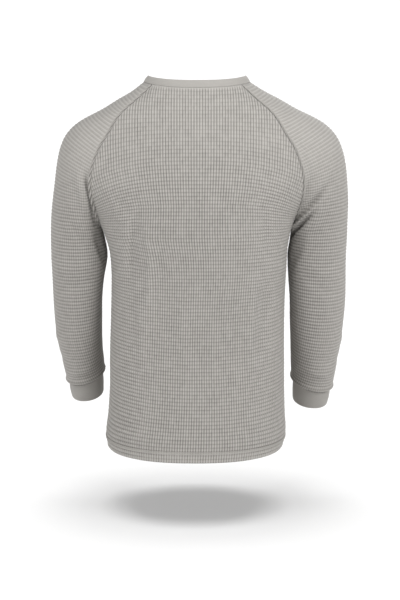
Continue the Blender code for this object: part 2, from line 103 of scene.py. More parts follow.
# Rings down the left sleeve, and on down the cuff: the outer line, the inner line below the
# underarm, the ring's depth behind and before them, its tip and its heading at the seam in
# degrees, and what the right arm adds.
sleeveColumns = ("station", "outX", "outZ", "inX", "inZ", "y", "back", "front", "tip",
                 "lead", "addOut", "addIn", "addDrop")
sleeve = (
    (0.0, 0.0960, -0.0114, 0.0, 0.0, -0.004, 0.022, 0.030, 0, 48, 0.000, 0.000, 0.000),
    (1.0, 0.1184, -0.0285, 0.0, 0.0, -0.003, 0.030, 0.036, 0, 34, 0.005, 0.000, 0.000),
    (2.0, 0.1447, -0.0438, 0.0, 0.0, -0.002, 0.037, 0.041, 0, 26, 0.008, 0.000, 0.000),
    (3.0, 0.1703, -0.0601, 0.0, 0.0, -0.001, 0.043, 0.046, 0, 21, 0.010, 0.000, 0.000),
    (4.0, 0.1940, -0.0719, 0.0, 0.0, 0.000, 0.048, 0.050, 0, 18, 0.012, 0.000, 0.000),
    (5.0, 0.2178, -0.0855, 0.0, 0.0, 0.000, 0.052, 0.054, 0, 15, 0.013, 0.000, 0.000),
    (6.0, 0.2382, -0.1055, 0.0, 0.0, 0.000, 0.055, 0.056, 0, 11, 0.014, 0.000, 0.000),
    (7.0, 0.2495, -0.1311, 0.0, 0.0, 0.000, 0.057, 0.057, 0, 4, 0.015, 0.000, 0.000),
    (8.0, 0.2555, -0.1600, 0.0, 0.0, 0.000, 0.058, 0.057, 0, -6, 0.016, 0.000, 0.000),
    (9.0, 0.2603, -0.1960, 0.0, 0.0, 0.000, 0.059, 0.057, 0, -22, 0.015, 0.000, 0.000),
    (10.0, 0.2655, -0.2330, 0.0, 0.0, -0.001, 0.061, 0.059, 1, -48, 0.012, 0.000, 0.000),
    (11.0, 0.2680, -0.2600, 0.0, 0.0, -0.002, 0.064, 0.063, 2, -72, 0.009, 0.000, 0.000),
    (12.0, 0.2690, -0.2790, 0.1745, -0.2825, -0.003, 0.067, 0.067, 3, -90, 0.008, 0.000, 0.000),
    (13.0, 0.2697, -0.3050, 0.1692, -0.3050, -0.007, 0.067, 0.067, 4, -90, 0.007, 0.002, 0.000),
    (14.0, 0.2700, -0.3366, 0.1662, -0.3340, -0.012, 0.066, 0.066, 5, -90, 0.006, 0.002, 0.000),
    (15.0, 0.2690, -0.3790, 0.1735, -0.3760, -0.017, 0.064, 0.064, 7, -90, 0.008, -0.003, 0.000),
    (16.0, 0.2683, -0.4184, 0.1776, -0.4140, -0.022, 0.062, 0.063, 9, -90, 0.009, -0.004, 0.001),
    (17.0, 0.2670, -0.4589, 0.1788, -0.4530, -0.030, 0.060, 0.061, 12, -90, 0.008, -0.004, 0.002),
    (18.0, 0.2632, -0.5007, 0.1798, -0.4910, -0.039, 0.057, 0.058, 15, -90, 0.008, -0.003, 0.005),
    (19.0, 0.2571, -0.5348, 0.1793, -0.5230, -0.048, 0.053, 0.054, 18, -90, 0.009, -0.001, 0.009),
    (20.0, 0.2520, -0.5640, 0.1778, -0.5480, -0.057, 0.050, 0.050, 20, -90, 0.010, 0.002, 0.012),
    (21.0, 0.2478, -0.5800, 0.1788, -0.5625, -0.061, 0.046, 0.046, 21, -90, 0.010, 0.003, 0.014),
    (21.4, 0.2450, -0.5835, 0.1806, -0.5660, -0.062, 0.043, 0.043, 21, -90, 0.010, 0.004, 0.014),
)
cuff = (
    (22.0, 0.2452, -0.5845, 0.1806, -0.5670, -0.0623, 0.043, 0.043, 21, -90, 0.010, 0.004, 0.014),
    (23.0, 0.2440, -0.6005, 0.1804, -0.5880, -0.0700, 0.043, 0.043, 21, -90, 0.010, 0.004, 0.014),
    (24.0, 0.2420, -0.6165, 0.1805, -0.6095, -0.0780, 0.042, 0.042, 21, -90, 0.010, 0.004, 0.014),
)
# Neck seam: a superellipse that drops towards the front.
neck = dict(halfWidth=0.0970, middleY=-0.0160, back=0.0820, front=0.0840, power=2.3,
            sideZ=-0.0114, backDrop=0.0040, frontDrop=0.0766, blend=0.060)

# Creases of a panel, a row each: both ends as across and height, width, depth (a trough is
# negative), how far the line bows, and skew, which steepens one flank.
backCreases = (
    (0.100, -0.195, 0.134, -0.395, 0.012, -0.0074, 0.005, 0.2),
    (0.082, -0.225, 0.092, -0.500, 0.011, 0.0042, 0.003, 0.2),
    (0.120, -0.330, 0.100, -0.560, 0.010, 0.0034, -0.004, 0.3),
    (0.062, -0.250, 0.078, -0.430, 0.010, -0.0024, 0.002, 0.0),
    (-0.131, -0.340, -0.120, -0.530, 0.012, -0.0062, 0.003, 0.1),
    (-0.108, -0.330, -0.094, -0.560, 0.010, 0.0032, 0.002, 0.0),
    (-0.116, -0.205, -0.134, -0.330, 0.011, -0.0030, -0.003, 0.2),
    (0.024, -0.360, 0.012, -0.600, 0.011, 0.0030, 0.004, 0.0),
    (-0.002, -0.385, -0.012, -0.560, 0.012, -0.0020, 0.002, 0.0),
    (-0.028, -0.400, -0.040, -0.650, 0.011, 0.0028, -0.003, 0.0),
    (0.160, -0.180, 0.118, -0.232, 0.007, -0.0022, 0.002, 0.4),
    (0.170, -0.215, 0.128, -0.262, 0.006, 0.0018, -0.002, 0.3),
    (-0.158, -0.190, -0.120, -0.240, 0.007, -0.0016, 0.002, 0.4),
    (0.060, -0.560, 0.052, -0.680, 0.014, -0.0024, 0.002, 0.0),
    (-0.085, -0.575, -0.074, -0.685, 0.014, -0.0022, -0.002, 0.0),
)
frontCreases = (
    (0.112, -0.225, 0.092, -0.420, 0.013, -0.0068, 0.004, 0.0),
    (-0.106, -0.215, -0.080, -0.400, 0.013, -0.0072, -0.004, 0.0),
    (0.134, -0.330, 0.120, -0.520, 0.012, 0.0040, 0.003, 0.2),
    (-0.138, -0.350, -0.126, -0.560, 0.012, 0.0036, -0.003, 0.2),
    (-0.040, -0.400, -0.028, -0.620, 0.013, 0.0036, 0.004, 0.0),
    (0.062, -0.430, 0.050, -0.640, 0.013, -0.0034, 0.003, 0.0),
    (0.145, -0.200, 0.105, -0.245, 0.007, -0.0022, 0.002, 0.4),
    (-0.146, -0.190, -0.100, -0.230, 0.007, -0.0020, 0.002, 0.4),
    (0.010, -0.560, 0.004, -0.685, 0.015, -0.0022, 0.002, 0.0),
)
# Creases of a sleeve: across from the outer line (+ to the back), length down from the neck.
sleeveCreases = {
    "left": (
        (0.100, 0.192, 0.126, 0.345, 0.0065, -0.0098, -0.004, 0.2),
        (0.086, 0.200, 0.104, 0.330, 0.0075, 0.0040, -0.004, 0.2),
        (0.118, 0.330, 0.150, 0.430, 0.0100, -0.0066, 0.004, 0.3),
        (0.060, 0.300, 0.112, 0.390, 0.0090, -0.0020, 0.004, 0.2),
        (0.020, 0.430, 0.110, 0.400, 0.0100, 0.0024, 0.006, 0.2),
        (0.030, 0.462, 0.120, 0.430, 0.0090, -0.0026, 0.006, 0.3),
        (-0.020, 0.560, 0.070, 0.545, 0.0100, 0.0018, 0.005, 0.0),
        (-0.010, 0.606, 0.080, 0.592, 0.0080, -0.0022, 0.004, 0.2),
        (0.010, 0.634, 0.100, 0.618, 0.0070, 0.0026, 0.004, 0.2),
        (-0.100, 0.250, -0.150, 0.330, 0.0090, -0.0050, -0.004, 0.3),
        (-0.080, 0.262, -0.136, 0.352, 0.0090, 0.0034, -0.004, 0.3),
        (-0.040, 0.420, -0.130, 0.400, 0.0100, -0.0030, 0.006, 0.2),
        (-0.030, 0.455, -0.130, 0.445, 0.0100, 0.0026, 0.006, 0.2),
        (-0.020, 0.600, -0.090, 0.580, 0.0090, -0.0022, 0.004, 0.2),
    ),
    "right": (
        (0.104, 0.212, 0.150, 0.296, 0.0075, -0.0036, 0.003, 0.2),
        (0.070, 0.222, 0.140, 0.316, 0.0080, 0.0030, 0.003, 0.0),
        (0.078, 0.246, 0.152, 0.350, 0.0080, -0.0092, 0.002, 0.0),
        (0.100, 0.294, 0.172, 0.378, 0.0050, 0.0110, 0.003, 0.5),
        (0.100, 0.310, 0.176, 0.392, 0.0048, -0.0145, 0.002, 0.3),
        (0.062, 0.262, 0.118, 0.402, 0.0100, 0.0024, -0.006, 0.2),
        (0.112, 0.360, 0.150, 0.450, 0.0100, -0.0040, 0.003, 0.3),
        (0.010, 0.440, 0.110, 0.425, 0.0100, 0.0024, 0.006, 0.2),
        (0.020, 0.476, 0.110, 0.452, 0.0090, -0.0026, 0.006, 0.3),
        (-0.020, 0.580, 0.070, 0.560, 0.0100, 0.0018, 0.005, 0.0),
        (-0.010, 0.622, 0.080, 0.606, 0.0080, -0.0022, 0.004, 0.2),
        (0.010, 0.648, 0.090, 0.634, 0.0070, 0.0024, 0.004, 0.2),
        (-0.100, 0.245, -0.150, 0.320, 0.0090, -0.0050, -0.004, 0.3),
        (-0.080, 0.265, -0.145, 0.350, 0.0090, 0.0034, -0.004, 0.3),
        (-0.030, 0.430, -0.130, 0.415, 0.0100, -0.0030, 0.006, 0.2),
        (-0.020, 0.605, -0.090, 0.590, 0.0090, -0.0022, 0.004, 0.2),
    ),
}


def column(table, names, name):
    # one named column of a table
    return np.array([row[names.index(name)] for row in table], dtype=float)


def smooth(knots, values, at):
    # cubic Hermite curve through the values, with slopes from their differences
    order = np.argsort(knots)
    knots, values = knots[order], values[order]
    slope = np.gradient(values, knots)
    at = np.clip(at, knots[0], knots[-1])
    left = np.clip(np.searchsorted(knots, at, side="right") - 1, 0, len(knots) - 2)
    step = knots[left + 1] - knots[left]
    t = (at - knots[left]) / step
    return (values[left] * (1 + 2 * t) * (1 - t) ** 2 + values[left + 1] * t * t * (3 - 2 * t)
            + step * slope[left] * t * (1 - t) ** 2 - step * slope[left + 1] * t * t * (1 - t))


def bodyValue(name, z):
    # a smooth curve through one column of the body's table
    return smooth(column(body, bodyColumns, "z"), column(body, bodyColumns, name), z)


def sectionValue(name, z):
    # straight lines through one column of the section's table
    return np.interp(z, column(section, sectionColumns, "z")[::-1],
                     column(section, sectionColumns, name)[::-1])


def seamAt(panel, station):
    # left raglan seam of a panel, station 0 at the neck and 12 at the underarm
    knots = np.arange(len(armhole), dtype=float)
    axes = [smooth(knots, column(armhole, armholeColumns, panel + axis), station) for axis in "XYZ"]
    return np.stack(axes, axis=-1)


def sideOf(panel, z):
    # half width and depth of a panel's edge: the raglan seam down to the underarm, then the side
    fine = seamAt(panel, np.linspace(0.0, underarmStation, seamSteps))[::-1]
    seamX = np.interp(z, fine[:, 2], fine[:, 0])
    seamY = np.interp(z, fine[:, 2], fine[:, 1])
    below = z < underarmZ
    return np.where(below, bodyValue("halfWidth", z), seamX), np.where(below, 0.0, seamY)


def panelPoint(panel, across, z):
    # y falls from the centre's depth to the side's as (1 - |across|^power)^turn
    halfWidth, sideY = sideOf(panel, z)
    centreY = bodyValue(panel, z)
    share = np.clip(1.0 - np.abs(across) ** sectionValue("power", z), 0.0, 1.0)
    x = bodyValue("sideways", z) + halfWidth * across
    y = sideY + (centreY - sideY) * share ** sectionValue("turn", z)
    return np.stack([x, y, z], axis=-1)


def neckHeight(y):
    # the seam falls with the square of the way to the back and its power 1.5 to the front
    back = np.clip(y / (neck["middleY"] + neck["back"]), 0.0, 1.0)
    front = np.clip(y / (neck["middleY"] - neck["front"]), 0.0, 1.0)
    return neck["sideZ"] - neck["backDrop"] * back ** 2 - neck["frontDrop"] * front ** 1.5


def neckPoint(x, facing):
    # (|x| / half width)^power + (|y| / depth)^power = 1, solved for y
    share = np.clip(1.0 - np.abs(x / neck["halfWidth"]) ** neck["power"], 0.0, 1.0)
    depth = neck["back"] if facing > 0 else neck["front"]
    y = neck["middleY"] + facing * depth * share ** (1 / neck["power"])
    return np.stack([x, y, neckHeight(y)], axis=-1)


def neckPointAtDepth(y):
    # the same seam, solved for x
    depth = np.where(y > neck["middleY"], neck["back"], neck["front"])
    share = np.clip(1.0 - np.abs((y - neck["middleY"]) / depth) ** neck["power"], 0.0, 1.0)
    return np.stack([neck["halfWidth"] * share ** (1 / neck["power"]), y, neckHeight(y)], axis=-1)


def settle(points, first, target):
    # what lies near the first row goes with it onto the neck seam, fading with distance
    away = np.linalg.norm(points - first, axis=-1, keepdims=True)
    fade = np.clip(1.0 - away / neck["blend"], 0.0, 1.0)
    return points + (target - first) * fade * fade * (3.0 - 2.0 * fade)


neckLift = {"back": -0.0018, "front": -0.0290}  # height of a top row's middle over its ends
panelTop = {name: float(seamAt(name, 0.0)[2]) for name in ("back", "front")}


def panelForm(panel, across, sideZ):
    # a panel's surface: across from -1 to 1, sideZ the height of the same row at the side
    facing = 1.0 if panel == "back" else -1.0
    fading = np.clip((sideZ - underarmZ) / (panelTop[panel] - underarmZ), 0.0, 1.0)
    z = sideZ + neckLift[panel] * fading * (1.0 - across ** 2)
    top = panelTop[panel] + neckLift[panel] * (1.0 - across ** 2)
    points = panelPoint(panel, across, z)
    first = panelPoint(panel, across, top)
    target = neckPoint(across * float(seamAt(panel, 0.0)[0]), facing)
    return settle(points, first, target)


def ringValue(table, name, station):
    # a smooth curve through one column of the rings; the inner line starts at the underarm
    first = underarmStation if name in ("inX", "inZ") else 0.0
    rows = [row for row in table if row[0] >= first]
    return smooth(column(rows, sleeveColumns, "station"), column(rows, sleeveColumns, name), station)


def halfRing(outer, inner, outerHandle, innerHandle, count):
    # cubic arc from the outer line to the seam on two handles
    t = np.linspace(0.0, 1.0, count)[None, :, None]
    points = [outer, outer + outerHandle, inner + innerHandle, inner]
    weights = [(1 - t) ** 3, 3 * t * (1 - t) ** 2, 3 * t * t * (1 - t), t ** 3]
    return sum(w * p[:, None, :] for w, p in zip(weights, points))


def outerLine(table, side, stations):
    # the line down a sleeve's or cuff's outer side
    right = 0.0 if side > 0 else 1.0
    x, y, z, addX, addZ = (ringValue(table, name, stations)
                           for name in ("outX", "y", "outZ", "addOut", "addDrop"))
    return np.stack([x + right * addX, y, z - right * addZ], axis=-1)


def tubeForm(table, side, stations, count=161):
    # rings of the left sleeve or cuff, from the back seam over the outer line to the front seam
    value = {name: ringValue(table, name, stations) for name in sleeveColumns[1:]}
    right = 0.0 if side > 0 else 1.0
    outer = outerLine(table, side, stations)
    inside = np.stack([value["inX"] + right * value["addIn"], value["y"],
                       value["inZ"] - right * value["addDrop"]], axis=-1)
    tip, lead = np.radians(value["tip"]), np.radians(value["lead"])
    halves = []
    for panel, facing in (("back", 1.0), ("front", -1.0)):
        seam = seamAt(panel, np.minimum(stations, underarmStation))
        inner = np.where((stations < underarmStation)[:, None], seam, inside)
        backwards = np.stack([0 * tip, np.cos(tip), -np.sin(tip)], axis=-1) * facing
        reach = outer - inner
        reach[:, 1] = 0.0
        length = np.linalg.norm(reach, axis=1, keepdims=True)
        heading = np.cos(lead)[:, None] * reach / length - np.sin(lead)[:, None] * backwards
        closed = np.clip((stations - closesFrom) / (underarmStation - closesFrom), 0.0, 1.0)[:, None]
        handle = (1 - closed) * openHandle * length + closed * value[panel][:, None]
        halves.append(halfRing(outer, inner, backwards * value[panel][:, None], heading * handle,
                               count))
    grid = np.concatenate([halves[0][:, ::-1], halves[1][:, 1:]], axis=1)
    if stations[0] == 0.0:
        grid = settle(grid, grid[:1], neckPointAtDepth(grid[0, :, 1])[None])
        for edge, panel in ((0, "back"), (-1, "front")):  # meets the panel's edge exactly
            seamed = stations < underarmStation
            wanted = panelForm(panel, np.ones(seamed.sum()), seamAt(panel, stations[seamed])[:, 2])
            gap = np.zeros((len(stations), 1, 3))
            gap[seamed, 0] = wanted - grid[seamed, edge]
            near = np.linspace(1.0, -1.0, grid.shape[1]) * (1 if edge == 0 else -1)
            grid = grid + gap * (np.clip(near, 0.0, 1.0) ** 4)[None, :, None]
    grid[..., 0] *= side
    return grid


def unit(vectors):
    # each vector over its own length
    return vectors / np.maximum(np.linalg.norm(vectors, axis=-1, keepdims=True), 1e-12)


def outwardNormals(grid, middle):
    # cross product of the grid's two directions, turned away from the middle line
    normal = unit(np.cross(np.gradient(grid, axis=0), np.gradient(grid, axis=1)))
    if (normal * (grid - middle)).sum() < 0:
        normal = -normal
    return normal


def lengthAlong(rows):
    # arc length along each row, starting at 0
    steps = np.linalg.norm(np.diff(rows, axis=1), axis=-1)
    return np.concatenate([np.zeros((len(rows), 1)), np.cumsum(steps, axis=1)], axis=1)


def readPath(path, length, at):
    # one path's points at the given lengths
    return np.stack([np.interp(at, length, path[:, axis]) for axis in range(3)], axis=-1)


def readAlong(rows, length, at):
    # each row's values at the given lengths
    return np.stack([readPath(*row) for row in zip(rows, length, at)])


def softened(grid, step, reach):
    # a bell-shaped average down the sleeve, none of it at the seams nor at either end
    width = int(3 * reach / step)
    bell = np.exp(-(np.arange(-width, width + 1) * step / reach) ** 2)
    padded = np.concatenate([grid[:1].repeat(width, 0), grid, grid[-1:].repeat(width, 0)])
    mean = sum(weight * padded[i:i + len(grid)] for i, weight in enumerate(bell / bell.sum()))
    rows = np.minimum(np.arange(len(grid)), np.arange(len(grid))[::-1]) / width
    across = 1.0 - np.abs(np.linspace(-1.0, 1.0, grid.shape[1])) ** 6
    amount = np.clip(rows, 0.0, 1.0)[:, None, None] * across[None, :, None]
    return grid + (mean - grid) * amount


def creaseRelief(table, across, along):
    # each crease is a bell across its own bowed line, fading to nothing at both ends
    relief = np.zeros_like(across)
    for x0, z0, x1, z1, width, depth, bow, skew in table:
        size = math.hypot(x1 - x0, z1 - z0)
        ux, uz = (x1 - x0) / size, (z1 - z0) / size
        t = ((across - x0) * ux + (along - z0) * uz) / size
        inside = np.clip(t, 0.0, 1.0)
        off = (across - x0) * -uz + (along - z0) * ux - bow * 4 * inside * (1 - inside)
        off = off / width
        off = off * (1.0 + skew * np.tanh(off))
        relief += depth * np.sin(pi * inside) ** 1.3 * np.exp(-off ** 2)
    return relief


def smoothstep(low, high, value):
    # 0 up to low, 1 from high on, 3t^2 - 2t^3 between them
    t = np.clip((value - low) / (high - low), 0.0, 1.0)
    return t * t * (3.0 - 2.0 * t)


def hashed(n, seed):
    # n seeded values from 0 to 1
    return np.random.default_rng(seed).random(n)


def rising(start, share):
    # start where the share is 0, 1 where it is 1
    return start + (1.0 - start) * share


def cellGain(rows, columns, seed):
    # one seeded value from -0.5 to 0.5 for each cell of three by three steps
    cells = hashed((rows // 3 + 1) * (columns // 3 + 1), seed).reshape(rows // 3 + 1, -1) - 0.5
    return cells[np.arange(rows)[:, None] // 3, np.arange(columns)[None, :] // 3]


class Shader:
    # builds one material; every node but maths comes from add()
    def __init__(self, name):
        self.material = bpy.data.materials.new(name)
        self.material.use_nodes = True
        self.tree = self.material.node_tree
        self.base = self.tree.nodes["Principled BSDF"]

    def add(self, kind, settings=None, inputs=None, output=0):
        node = self.tree.nodes.new(kind)
        for key, value in (settings or {}).items():
            setattr(node, key, value)
        for key, value in (inputs or {}).items():
            self.plug(node.inputs[key], value)
        return Socket(self, node.outputs[output])

    def plug(self, socket, value):
        if isinstance(value, Socket):
            self.tree.links.new(value.socket, socket)
        else:
            socket.default_value = value

    def finish(self, inputs):
        for key, value in inputs.items():
            self.plug(self.base.inputs[key], value)
        return self.material

    def mix(self, factor, first, second):
        return self.add("ShaderNodeMix", {"data_type": "RGBA"},
                        {0: factor, 6: first, 7: second}, output=2)


class Socket:
    # one output; Python's operators add Math nodes
    def __init__(self, shader, socket):
        self.shader, self.socket = shader, socket

    def math(self, operation, *values):
        return self.shader.add("ShaderNodeMath", {"operation": operation}, dict(enumerate(values)))

    def __add__(self, other):
        return self.math("ADD", self, other)

    def __radd__(self, other):
        return self.math("ADD", other, self)

    def __sub__(self, other):
        return self.math("SUBTRACT", self, other)

    def __rsub__(self, other):
        return self.math("SUBTRACT", other, self)

    def __mul__(self, other):
        return self.math("MULTIPLY", self, other)

    def __rmul__(self, other):
        return self.math("MULTIPLY", other, self)

    def __pow__(self, other):
        return self.math("POWER", self, other)

    def sin(self):
        return self.math("SINE", self)

    def cos(self):
        return self.math("COSINE", self)

    def least(self, other):
        return self.math("MINIMUM", self, other)

    def most(self, other):
        return self.math("MAXIMUM", self, other)


yarn = dict(light=(0.400, 0.384, 0.360, 1.0), dark=(0.062, 0.057, 0.051, 1.0), overlap=0.7,
            dyeScale=9.0, dyeTone=0.07, fibreScale=900.0, fibreTone=0.16, grooveShadeSpreadScale=55.0, grooveShadeSpread=0.5,
            loopShade=0.05, sway=0.35, bump=0.55, specular=0.18, sheen=0.12, sheenRough=0.6)
# across and down: how much painted shade darkens the upright grooves and the rows
bodyLook = dict(base=0.00, across=0.52, acrossPower=1.4, down=0.20, downPower=3.0, rough=0.93,
                stitchesAcross=3.0, stitchesDown=4.0, yarnBump=0.00022)
sleeveLook = dict(base=0.20, across=0.36, acrossPower=1.5, down=0.0, downPower=3.0, rough=0.93,
                  stitchesAcross=3.0, stitchesDown=4.0, yarnBump=0.00022)
ribLook = dict(base=0.20, across=0.10, acrossPower=1.0, down=0.0, downPower=1.0, rough=0.90,
               stitchesAcross=1.0, stitchesDown=3.0, yarnBump=0.00012)


def clothMaterial(name, look):
    # painted shade darkens the yarn down the knit's grooves, and a point attribute adds more painted shade
    # and painted highlights with some of the yarn's own tone; with a faint
    #     # uneven dye, and its loops are in the bump
    s = Shader(name)
    uv = s.add("ShaderNodeUVMap", {"uv_map": "knit"})
    u = s.add("ShaderNodeSeparateXYZ", inputs={0: uv})
    v = Socket(s, u.socket.node.outputs[1])
    shade = s.add("ShaderNodeAttribute", {"attribute_name": "paintedShadeAndTone"}, output=2)
    depth = s.add("ShaderNodeAttribute", {"attribute_name": "grooveShadeAmount"}, output=2)
    place = s.add("ShaderNodeTexCoord", output=3)
    cloud, fibre, uneven = (
        s.add("ShaderNodeTexNoise", inputs={"Vector": place, "Scale": yarn[scale], "Detail": detail})
        for scale, detail in (("dyeScale", 3.0), ("fibreScale", 2.0), ("grooveShadeSpreadScale", 2.0)))
    # across and down are the grooves' painted shade, darkest down their middles
    across = ((u * (2 * pi)).cos() * 0.5 + 0.5) ** look["acrossPower"]
    down = ((v * (2 * pi)).cos() * 0.5 + 0.5) ** look["downPower"]
    loop = (u * (2 * pi * look["stitchesAcross"])).cos() * 0.5 + 0.5
    sway = (u * (2 * pi * look["stitchesAcross"])).sin() * yarn["sway"]
    slant = ((v * look["stitchesDown"] + sway) * (2 * pi)).sin() * 0.5 + 0.5
    stitch = loop * 0.6 + slant * 0.4
    shared = across * down * look["down"] * yarn["overlap"]
    knit = across * look["across"] + down * look["down"] - shared
    # noise makes the painted shade in the grooves stronger in some places than in others
    knit = knit * depth * ((uneven - 0.5) * yarn["grooveShadeSpread"] + 1.0)
    # the loops' low parts get painted shade
    paintedShadeAndDye = knit + shade + look["base"] + (1.0 - stitch) * yarn["loopShade"]
    paintedShadeAndDye = paintedShadeAndDye + (fibre - 0.5) * yarn["fibreTone"] + (cloud - 0.5) * yarn["dyeTone"]
    colour = s.mix(paintedShadeAndDye.most(0.0).least(1.0), yarn["light"], yarn["dark"])
    bump = s.add("ShaderNodeBump", inputs={"Strength": yarn["bump"], "Distance": look["yarnBump"],
                                           "Height": stitch * 0.7 + fibre * 0.5})
    return s.finish({"Base Color": colour, "Roughness": look["rough"] - fibre * 0.08, "Normal": bump,
                     "Specular IOR Level": yarn["specular"], "Sheen Weight": yarn["sheen"],
                     "Sheen Roughness": yarn["sheenRough"]})


def newObject(name, data):
    # an object at the origin, in the scene
    thing = bpy.data.objects.new(name, data)
    bpy.context.scene.collection.objects.link(thing)
    return thing


def addPiece(name, points, triangles, material, uv, paintedShadeAndTone, grooveShadeAmount):
    # points and triangles go in whole, unused points are left out; the first list of values darkens or
    # lightens the yarn, mostly painted shade and
    #     # painted highlights with some of the yarn's own tone, the second is how much painted shade the
    #     knit's grooves get
    used = np.unique(triangles)
    place = np.full(len(points), -1)
    place[used] = np.arange(len(used))
    triangles = place[triangles]
    mesh = bpy.data.meshes.new(name)
    mesh.vertices.add(len(used))
    mesh.vertices.foreach_set("co", points[used].astype(np.float32).ravel())
    mesh.loops.add(triangles.size)
    mesh.loops.foreach_set("vertex_index", triangles.ravel().astype(np.int32))
    mesh.polygons.add(len(triangles))
    mesh.polygons.foreach_set("loop_start", np.arange(0, triangles.size, 3, dtype=np.int32))
    mesh.update(calc_edges=True)
    mesh.validate()
    mesh.shade_smooth()
    layer = mesh.uv_layers.new(name="knit")
    layer.data.foreach_set("uv", uv[used][triangles.ravel()].astype(np.float32).ravel())
    for label, values in (("paintedShadeAndTone", paintedShadeAndTone), ("grooveShadeAmount", grooveShadeAmount)):
        kept = mesh.attributes.new(label, "FLOAT", "POINT")
        kept.data.foreach_set("value", values[used].astype(np.float32))
    mesh.materials.append(material)
    print("made", name, len(triangles), "triangles")
    return newObject(name, mesh)


def trisOfGrid(index, flip):
    # two triangles a quad, dropping any that a trimmed edge has closed up
    a, b, c, d = index[:-1, :-1], index[:-1, 1:], index[1:, 1:], index[1:, :-1]
    tris = np.concatenate([np.stack(t, -1).reshape(-1, 3) for t in ((a, d, c), (a, c, b))])
    return dropClosed(tris[:, ::-1] if flip else tris)


def wrapped(rows, columns, loop=False):
    # a grid's point numbers with the first column again at the end, in a loop the first row too
    index = np.arange(rows * columns).reshape(rows, columns)
    return np.pad(index, ((0, int(loop)), (0, 1)), mode="wrap")


def facesIn(points, row, step, outward):
    # whether the grid's triangles at this point turn their backs to the outward direction
    corner = points[row, step]
    turn = np.cross(points[row + 1, step] - corner, points[row, step + 1] - corner)
    return np.dot(turn, outward) < 0


def paired(u, v):
    # both values at each point of the grid that they span
    return np.stack(np.broadcast_arrays(u, v), -1).reshape(-1, 2)


def dropClosed(tris):
    # leaves out triangles that use a point twice
    keep = (tris[:, 0] != tris[:, 1]) & (tris[:, 1] != tris[:, 2]) & (tris[:, 0] != tris[:, 2])
    return tris[keep]


def rimTris(fine, coarse, flip):
    # joins an edge of the outer skin to the inner skin's, three fine steps to one coarse
    o0, o1, o2, o3 = fine[0:-3:3], fine[1:-2:3], fine[2:-1:3], fine[3::3]
    i0, i1 = coarse[:-1], coarse[1:]
    tris = np.concatenate([np.stack(t, -1) for t in
                           ((o0, o1, i0), (o1, o2, i0), (o2, i1, i0), (o2, o3, i1))])
    return dropClosed(tris[:, ::-1] if flip else tris)


def trimmedIndex(wanted, low, high, start):
    # points past a row's end all take the number of the row's last point
    rows, columns = wanted.shape
    index = np.arange(rows * columns).reshape(rows, columns) + start
    first = np.argmax(wanted > low[:, None], axis=1) - 1
    last = columns - np.argmax(wanted[:, ::-1] < high[:, None], axis=1)
    first, last = np.maximum(first, 0), np.minimum(last, columns - 1)
    place = np.clip(np.arange(columns)[None], first[:, None], last[:, None])
    return np.take_along_axis(index, place, axis=1)


def knitPiece(name, skin, pitch, knit, relief, material, closedFrom=None):
    # fine outer skin with the knit's relief, coarse inner skin a cloth thickness below, and rims;
    # a cell is three steps each way, point j of a row lies j thirds of the pitch from its middle,
    # and closedFrom is the first row whose two ends meet
    dense, normals, length = skin
    cells = knit["cells"]
    low, high = length[:, 0], length[:, -1]
    steps = np.arange(-3 * cells, 3 * cells + 1)
    wanted = steps[None, :] * pitch[:, None] / 3.0
    at = np.clip(wanted, low[:, None], high[:, None])
    smoothSkin = readAlong(dense, length, at)
    normal = unit(readAlong(normals, length, at))
    height, paintedShadeAndTone, grooveShadeAmount = relief(at, steps, low, high)
    rows = len(dense)
    outer = smoothSkin + normal * height[..., None]
    coarse = (slice(0, rows, 3), slice(0, len(steps), 3))
    broad = relief(at, steps, low, high, broad=True)[0]
    inner = smoothSkin[coarse] + normal[coarse] * (broad[coarse][..., None] - knit["thickness"])
    index = trimmedIndex(wanted, low, high, 0)
    innerIndex = trimmedIndex(wanted[coarse], low[::3], high[::3], wanted.size)
    if closedFrom is not None:
        index = weld(index, closedFrom)
        innerIndex = weld(innerIndex, -(-closedFrom // 3))
    row, step = rows // 2, len(steps) // 2
    flip = facesIn(outer, row, step, normal[row, step])
    parts = [trisOfGrid(index, flip), trisOfGrid(innerIndex, not flip),
             rimTris(index[0], innerIndex[0], flip), rimTris(index[-1], innerIndex[-1], not flip)]
    stop = rows if closedFrom is None else closedFrom + 1
    innerStop = (stop - 1) // 3 + 1
    if stop > 1:
        parts.append(rimTris(index[:stop, 0], innerIndex[:innerStop, 0], not flip))
        parts.append(rimTris(index[:stop, -1], innerIndex[:innerStop, -1], flip))
    points = np.concatenate([outer.reshape(-1, 3), inner.reshape(-1, 3)])
    across, down = at / pitch[:, None], np.arange(rows)[:, None] / 3.0
    uv = np.concatenate([paired(across, down), paired(across[coarse], down[::3])])
    inside = innerIndex.size
    shade = np.concatenate([paintedShadeAndTone.reshape(-1), np.full(inside, insideShade)])
    depth = np.concatenate([grooveShadeAmount.reshape(-1), np.full(inside, 1.0)])
    return addPiece(name, points, np.concatenate(parts), material, uv, shade, depth)


def weld(index, closedFrom):
    # from that row on, each row's last point becomes its first
    index = index.copy()
    rows = index[closedFrom:]
    index[closedFrom:] = np.where(rows == rows[:, -1:], rows[:, :1], rows)
    return index


insideShade = 0.10  # painted shade: how dark the yarn is painted inside the garment
